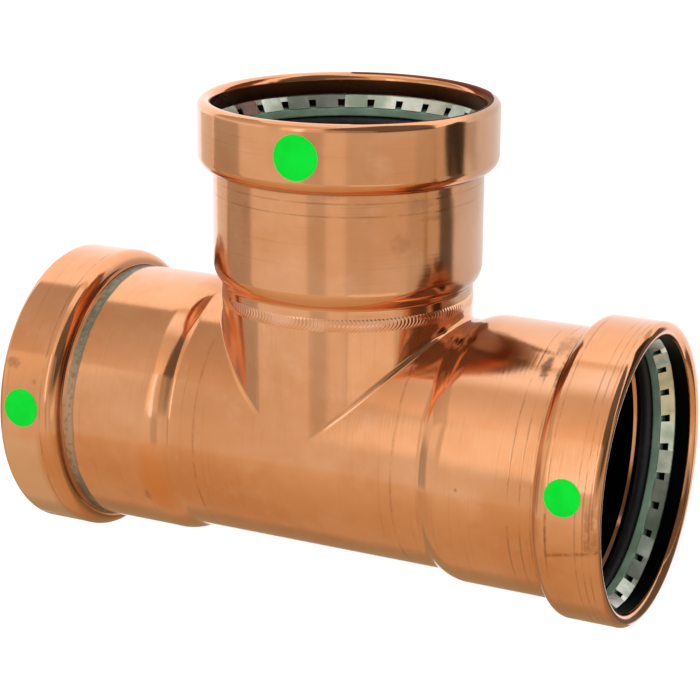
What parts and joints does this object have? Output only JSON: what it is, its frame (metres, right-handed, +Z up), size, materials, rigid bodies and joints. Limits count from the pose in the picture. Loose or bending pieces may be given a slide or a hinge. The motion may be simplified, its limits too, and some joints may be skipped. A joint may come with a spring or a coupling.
{
  "type": "press fit pipe tee",
  "caption": "Copper press fit tee with equal outlets, each with a raised press bead that holds a toothed grip ring, a separator ring and a rubber seal.",
  "frame": {"origin": "under the middle of the fitting, on the surface that its three beads lie on", "axes": "+X along the run towards the right socket, +Y along the branch towards its mouth, +Z up, on the side with the painted dots"},
  "size_m": [0.2048, 0.1526, 0.0933],
  "materials": {
    "copper": "satin drawn copper, lightly polished",
    "weld": "fine rippled copper weld",
    "grip_steel": "bright stamped stainless steel",
    "separator_plastic": "matte moulded plastic",
    "seal_rubber": "matte moulded rubber",
    "green_paint": "flat paint dot"
  },
  "bodies": {
    "root": {"run_body": "copper", "branch_socket": "copper", "branch_weld": "weld", "left_seal": "seal_rubber", "right_seal": "seal_rubber", "branch_seal": "seal_rubber", "left_separator": "separator_plastic", "right_separator": "separator_plastic", "branch_separator": "separator_plastic", "left_grip_ring": "grip_steel", "right_grip_ring": "grip_steel", "branch_grip_ring": "grip_steel", "left_green_dot": "green_paint", "right_green_dot": "green_paint", "branch_green_dot": "green_paint"}
  },
  "joints": []
}
